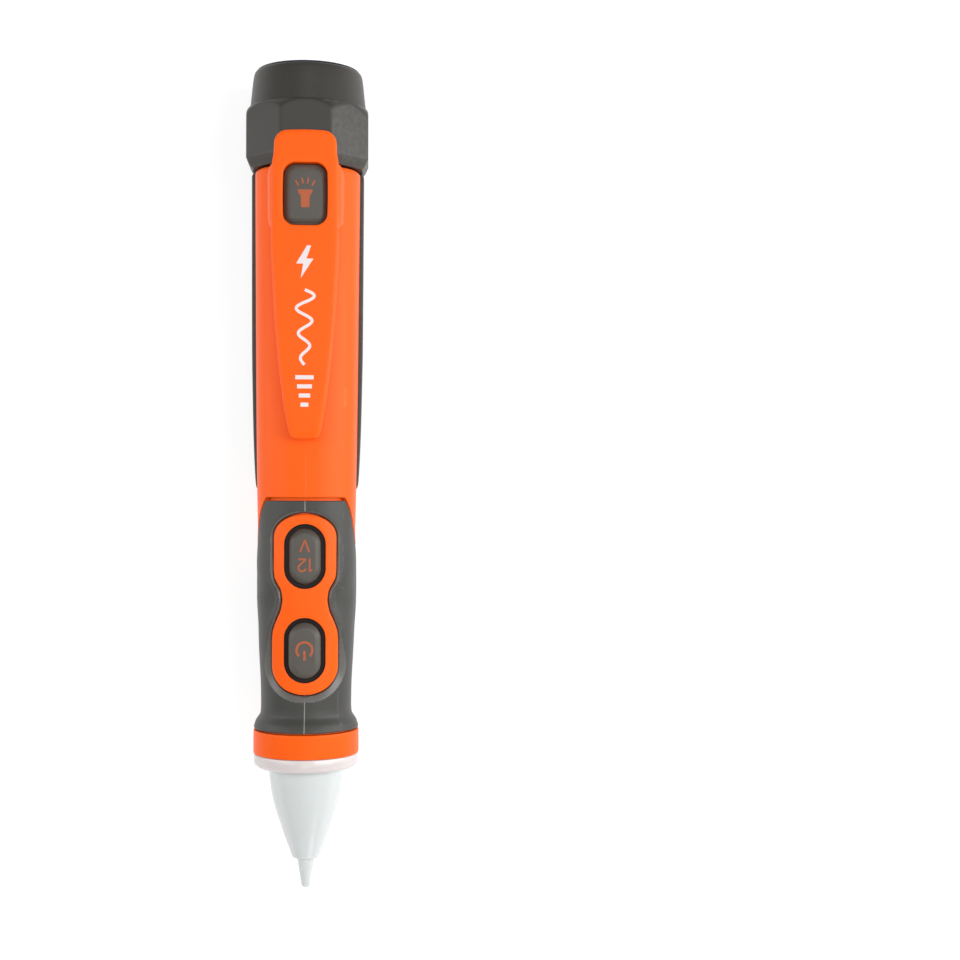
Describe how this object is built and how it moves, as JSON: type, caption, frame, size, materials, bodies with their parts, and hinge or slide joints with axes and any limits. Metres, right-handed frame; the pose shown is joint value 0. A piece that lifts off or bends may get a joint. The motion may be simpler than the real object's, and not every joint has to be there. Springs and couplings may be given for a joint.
{
  "type": "non contact voltage tester",
  "caption": "Pen-style non contact voltage tester with a translucent sensing tip, rubber grip with two buttons, pocket clip and a torch in the tail.",
  "frame": {"origin": "middle of the tester's length and width, on the flat that it lies on", "axes": "+Y along the pen to the torch at the tail, +Z out of the front with the buttons and the clip, +X across"},
  "size_m": [0.0262, 0.1772, 0.0291],
  "materials": {
    "housing_orange": "satin moulded ABS",
    "case_gray": "satin moulded ABS",
    "grip_rubber": "fine matte overmould",
    "button_gray": "soft matte keys",
    "nose_frosted": "milky translucent polycarbonate",
    "lens_clear": "clear polycarbonate",
    "bezel_dark": "dark gloss trim",
    "reflector_chrome": "mirror",
    "spring_steel": "nickel plated",
    "antenna_brass": "bright",
    "board_green": "solder mask",
    "black_plastic": "moulded nylon",
    "plunger_white": "moulded nylon",
    "seal_rubber": "matte",
    "cell_wrap": "plain sleeve",
    "led_white": "clear resin",
    "led_green": "tinted resin",
    "led_red": "tinted resin",
    "wire_red": "vinyl",
    "wire_black": "vinyl"
  },
  "bodies": {
    "pen_body": {"barrel_housing": "housing_orange", "grip_overmold": "grip_rubber", "nose_cone": "nose_frosted", "nose_o_ring": "seal_rubber", "torch_led": "led_white", "torch_led_board": "board_green", "tail_o_ring": "seal_rubber", "pocket_clip": "housing_orange", "torch_button_seal": "seal_rubber", "torch_switch": "black_plastic", "voltage_button_seal": "seal_rubber", "voltage_switch": "black_plastic", "power_button_seal": "seal_rubber", "power_switch": "black_plastic", "main_board": "board_green", "controller_chip": "black_plastic", "buzzer": "black_plastic", "green_status_led": "led_green", "red_alarm_led": "led_red", "sensor_antenna": "antenna_brass", "torch_wire_red": "wire_red", "torch_wire_black": "wire_black", "board_screw_1": "spring_steel", "board_screw_2": "spring_steel", "battery_tray": "black_plastic", "battery_cell_1": "cell_wrap", "battery_cell_2": "cell_wrap", "battery_spring_1": "spring_steel", "battery_spring_2": "spring_steel", "battery_bridge": "spring_steel", "battery_contact_minus": "spring_steel", "battery_contact_plus": "spring_steel"},
    "torch_optics": {"torch_lens": "lens_clear", "torch_reflector": "reflector_chrome"},
    "torch_head": {"tail_cap": "case_gray", "lens_bezel": "bezel_dark"},
    "battery_cover": {"rear_cover": "case_gray"},
    "clip_leaf": {"pocket_clip_leaf": "housing_orange"},
    "torch_key": {"torch_button": "button_gray", "torch_switch_plunger": "plunger_white"},
    "voltage_key": {"voltage_button": "button_gray", "voltage_switch_plunger": "plunger_white"},
    "power_key": {"power_button": "button_gray", "power_switch_plunger": "plunger_white"}
  },
  "joints": [
    {"name": "torch_head_turn", "type": "hinge", "parent": "torch_optics", "child": "torch_head", "pos_m": [0, 0.0755, 0.01335], "axis": [0, 1, 0], "range_deg": [0, 1082]},
    {"name": "torch_head_travel", "type": "slide", "parent": "pen_body", "child": "torch_optics", "axis": [0, 1, 0], "range_m": [0, 0.0045]},
    {"name": "battery_cover_slide", "type": "slide", "parent": "pen_body", "child": "battery_cover", "axis": [0, -1, 0], "range_m": [0, 0.0032]},
    {"name": "clip_flex", "type": "hinge", "parent": "pen_body", "child": "clip_leaf", "pos_m": [0, 0.0525, 0.02835], "axis": [-1, 0, 0], "range_deg": [0, 5], "stiffness_Nm_per_rad": 3.7, "springref_deg": -1.15},
    {"name": "torch_button_press", "type": "slide", "parent": "pen_body", "child": "torch_key", "axis": [0, 0, -1], "range_m": [0, 0.0006], "stiffness_N_per_m": 1500, "springref_m": -0.0004},
    {"name": "voltage_button_press", "type": "slide", "parent": "pen_body", "child": "voltage_key", "axis": [0, 0, -1], "range_m": [0, 0.0006], "stiffness_N_per_m": 1500, "springref_m": -0.0004},
    {"name": "power_button_press", "type": "slide", "parent": "pen_body", "child": "power_key", "axis": [0, 0, -1], "range_m": [0, 0.0006], "stiffness_N_per_m": 1500, "springref_m": -0.0004}
  ],
  "couplings": [
    {"joint": "torch_head_turn", "follows": "torch_head_travel", "rad_per_m": 4188.8}
  ]
}
